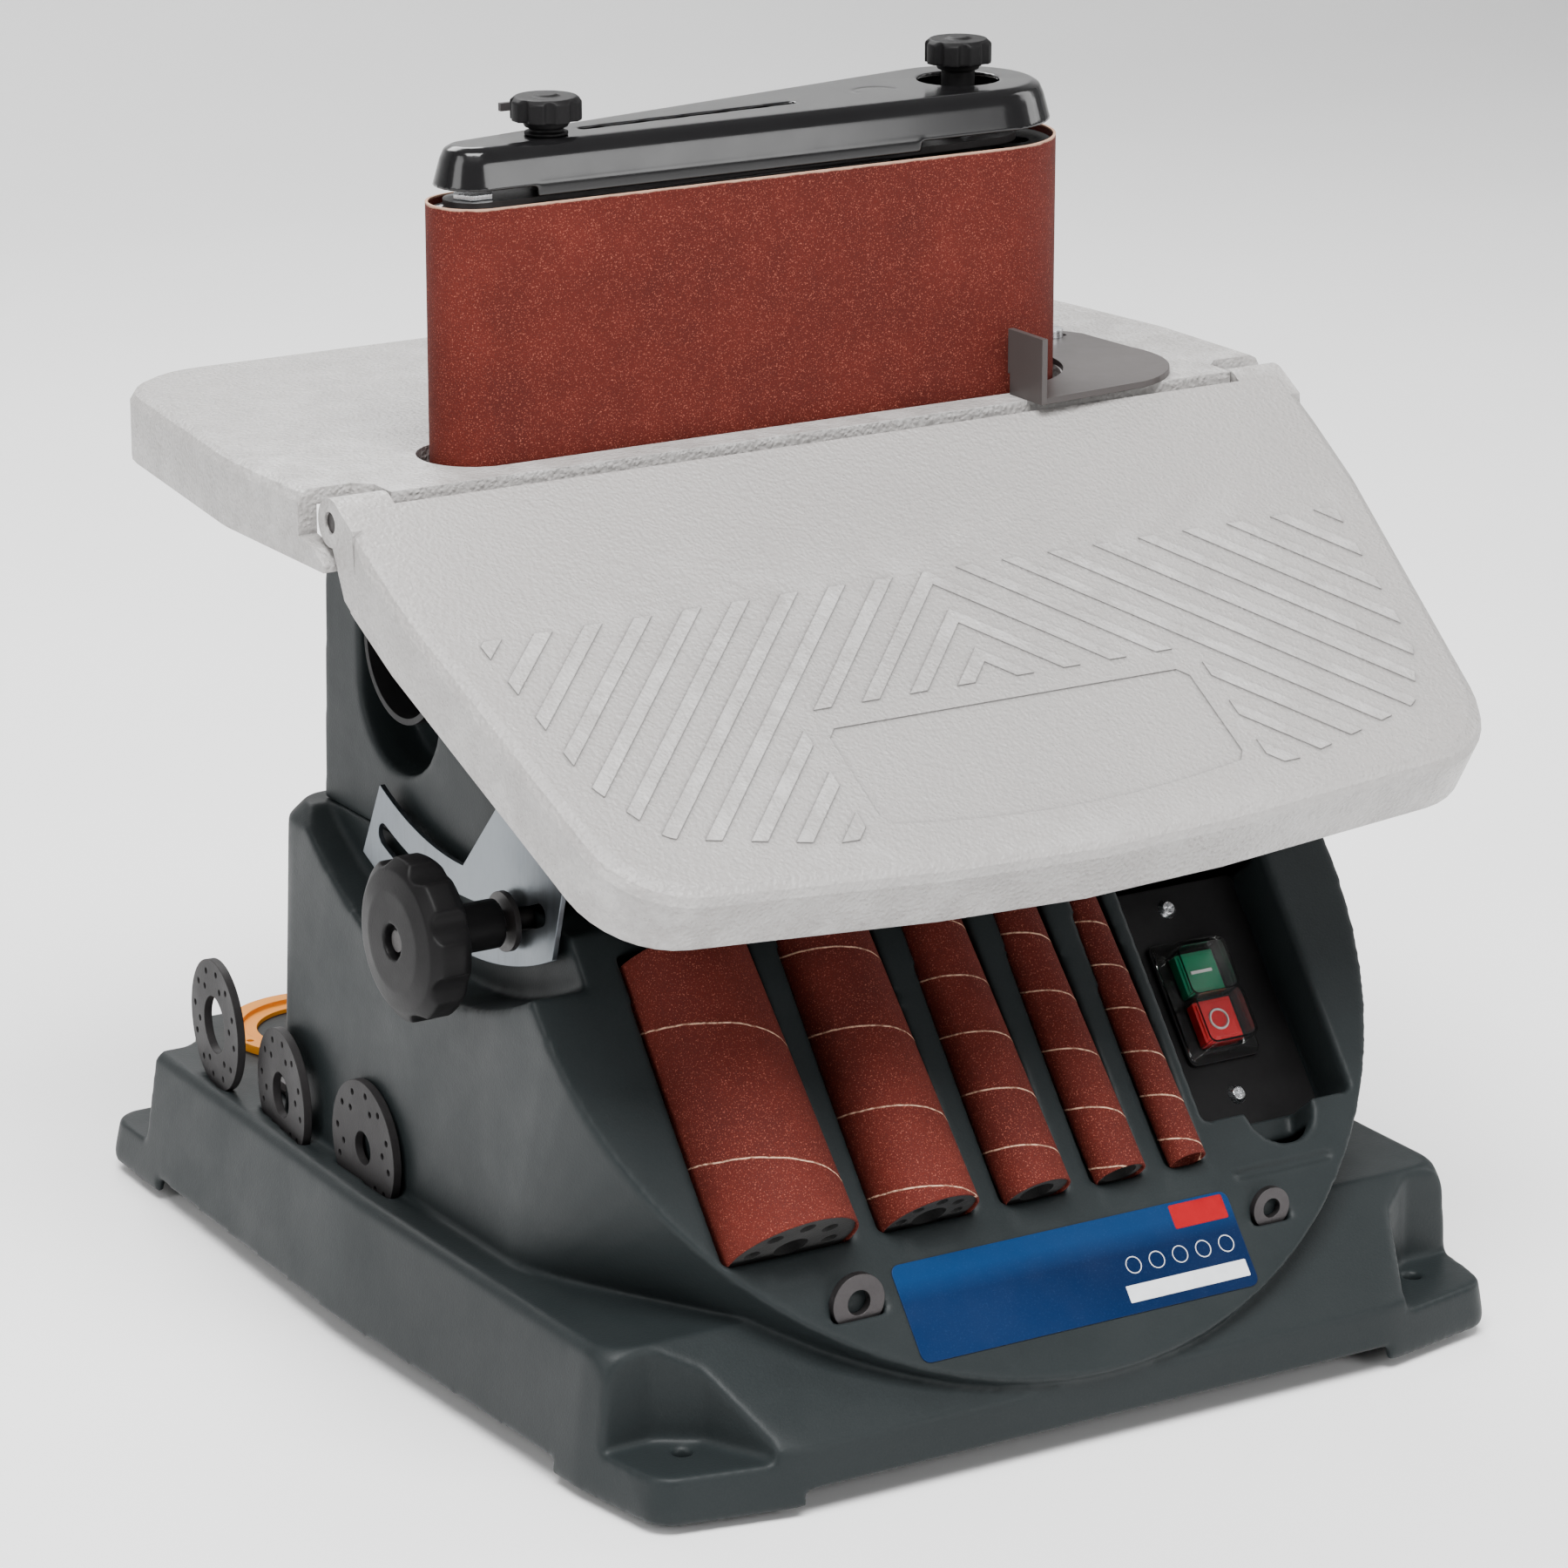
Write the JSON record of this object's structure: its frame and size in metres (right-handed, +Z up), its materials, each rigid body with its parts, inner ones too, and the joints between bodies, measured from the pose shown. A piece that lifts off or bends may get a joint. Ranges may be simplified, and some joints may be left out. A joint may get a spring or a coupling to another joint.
{
  "type": "oscillating spindle sander",
  "caption": "Bench-top oscillating spindle sander with its upright belt unit fitted: dark moulded base with stored sleeves and switch, fixed rear table and tilting front table.",
  "frame": {"origin": "centre of the bounding box in plan, on the surface the rubber feet stand on", "axes": "+Z up, +Y from the operator to the back of the machine, +X to the operator's right along the belt's flat face"},
  "size_m": [0.417, 0.4483, 0.4625],
  "materials": {
    "housing_plastic": "satin moulded, lightly grained",
    "rubber_black": "matte",
    "table_paint": "textured powder coat",
    "black_plastic": "satin",
    "bright_steel": "bright zinc",
    "blackened_steel": "satin black",
    "zinc_plate": "zinc plated",
    "dull_steel": "dull",
    "cast_alloy": "as cast",
    "bronze": "sintered bronze",
    "gear_nylon": "moulded nylon",
    "rotor_copper": "wound and varnished",
    "drum_rubber": "ground rubber",
    "abrasive": "bonded abrasive grain on cloth",
    "cover_gloss": "gloss black",
    "orange_plastic": "satin orange",
    "clear_cover": "clear moulding",
    "label_blue": "gloss film",
    "button_green": "gloss",
    "button_red": "gloss"
  },
  "bodies": {
    "housing": {"base_housing": "housing_plastic", "column_housing": "housing_plastic", "rubber_feet": "rubber_black", "bottom_cover": "housing_plastic", "fixed_table": "table_paint", "dust_port": "black_plastic", "table_bolts": "bright_steel", "hinge_pins": "blackened_steel", "motor_housing": "cast_alloy", "gear_plate": "cast_alloy", "spindle_bushes": "bronze", "guide_bush": "bronze", "switch_plate": "black_plastic", "switch_body": "black_plastic", "switch_cover": "clear_cover", "panel_screws": "bright_steel", "rating_label": "label_blue", "cable_gland": "rubber_black", "back_stop": "blackened_steel", "back_stop_screw": "bright_steel", "spare_washers": "dull_steel", "sleeve_50": "abrasive", "sleeve_38": "abrasive", "sleeve_26": "abrasive", "sleeve_19": "abrasive", "sleeve_13": "abrasive", "drum_50": "rubber_black", "drum_38": "rubber_black", "drum_26": "rubber_black", "drum_19": "rubber_black", "insert_disc_large_bore": "black_plastic", "insert_disc_mid_bore": "black_plastic", "insert_disc_small_bore": "black_plastic", "insert_ring": "orange_plastic", "hex_key": "blackened_steel"},
    "tilt_table": {"tilt_table": "table_paint", "tilt_quadrant": "zinc_plate", "quadrant_screws": "bright_steel"},
    "tilt_lock": {"tilt_knob": "black_plastic", "tilt_bolt": "bright_steel"},
    "belt_unit": {"belt_frame": "blackened_steel", "platen": "blackened_steel", "belt_cover": "cover_gloss", "idler_axle": "bright_steel", "sanding_belt": "abrasive", "tension_spring": "dull_steel", "guide_rod": "bright_steel", "frame_bushes": "bronze"},
    "tension_lever": {"tension_lever": "blackened_steel"},
    "idler_roller": {"idler_roller": "cast_alloy"},
    "spindle": {"spindle": "bright_steel", "drive_drum": "drum_rubber", "spindle_knob": "black_plastic", "driven_gear": "gear_nylon"},
    "motor_rotor": {"motor_rotor": "rotor_copper", "cooling_fan": "gear_nylon"},
    "cam_wheel": {"cam_wheel": "gear_nylon"},
    "cover_knob": {"cover_knob": "black_plastic"},
    "start_button": {"start_button": "button_green"},
    "stop_button": {"stop_button": "button_red"}
  },
  "joints": [
    {"name": "table_tilt", "type": "hinge", "parent": "housing", "child": "tilt_table", "pos_m": [0, -0.0295, 0.324], "axis": [1, 0, 0], "range_deg": [-31, 5]},
    {"name": "tilt_lock_turn", "type": "hinge", "parent": "housing", "child": "tilt_lock", "pos_m": [-0.19, -0.07082, 0.18084], "axis": [1, 0, 0], "continuous": true},
    {"name": "belt_oscillation", "type": "slide", "parent": "housing", "child": "belt_unit", "axis": [0, 0, 1], "range_m": [-0.008, 0.008]},
    {"name": "spindle_spin", "type": "hinge", "parent": "belt_unit", "child": "spindle", "pos_m": [0.0902, 0.0207, 0.333], "axis": [0, 0, 1], "continuous": true},
    {"name": "idler_spin", "type": "hinge", "parent": "belt_unit", "child": "idler_roller", "pos_m": [-0.1286, 0.0008, 0.373], "axis": [0, 0, 1], "continuous": true},
    {"name": "motor_spin", "type": "hinge", "parent": "housing", "child": "motor_rotor", "pos_m": [0.028, 0.0207, 0.19], "axis": [0, 0, 1], "continuous": true},
    {"name": "cam_spin", "type": "hinge", "parent": "housing", "child": "cam_wheel", "pos_m": [0.0902, -0.0339, 0.074], "axis": [0, 1, 0], "continuous": true},
    {"name": "cover_knob_turn", "type": "hinge", "parent": "belt_unit", "child": "cover_knob", "pos_m": [-0.0976, 0.0025, 0.453], "axis": [0, 0, 1], "continuous": true},
    {"name": "tension_lever_turn", "type": "hinge", "parent": "belt_unit", "child": "tension_lever", "pos_m": [-0.092, 0.0195, 0.429], "axis": [0, 0, 1], "range_deg": [-15, 15]},
    {"name": "start_press", "type": "slide", "parent": "housing", "child": "start_button", "axis": [0, 0.7793, -0.6266], "range_m": [0, 0.003], "stiffness_N_per_m": 600},
    {"name": "stop_press", "type": "slide", "parent": "housing", "child": "stop_button", "axis": [0, 0.7793, -0.6266], "range_m": [0, 0.003], "stiffness_N_per_m": 600}
  ],
  "couplings": [
    {"joint": "idler_spin", "follows": "spindle_spin", "ratio": 2.221},
    {"joint": "motor_spin", "follows": "spindle_spin", "ratio": -2.5},
    {"joint": "cam_spin", "follows": "spindle_spin", "ratio": 0.03}
  ]
}
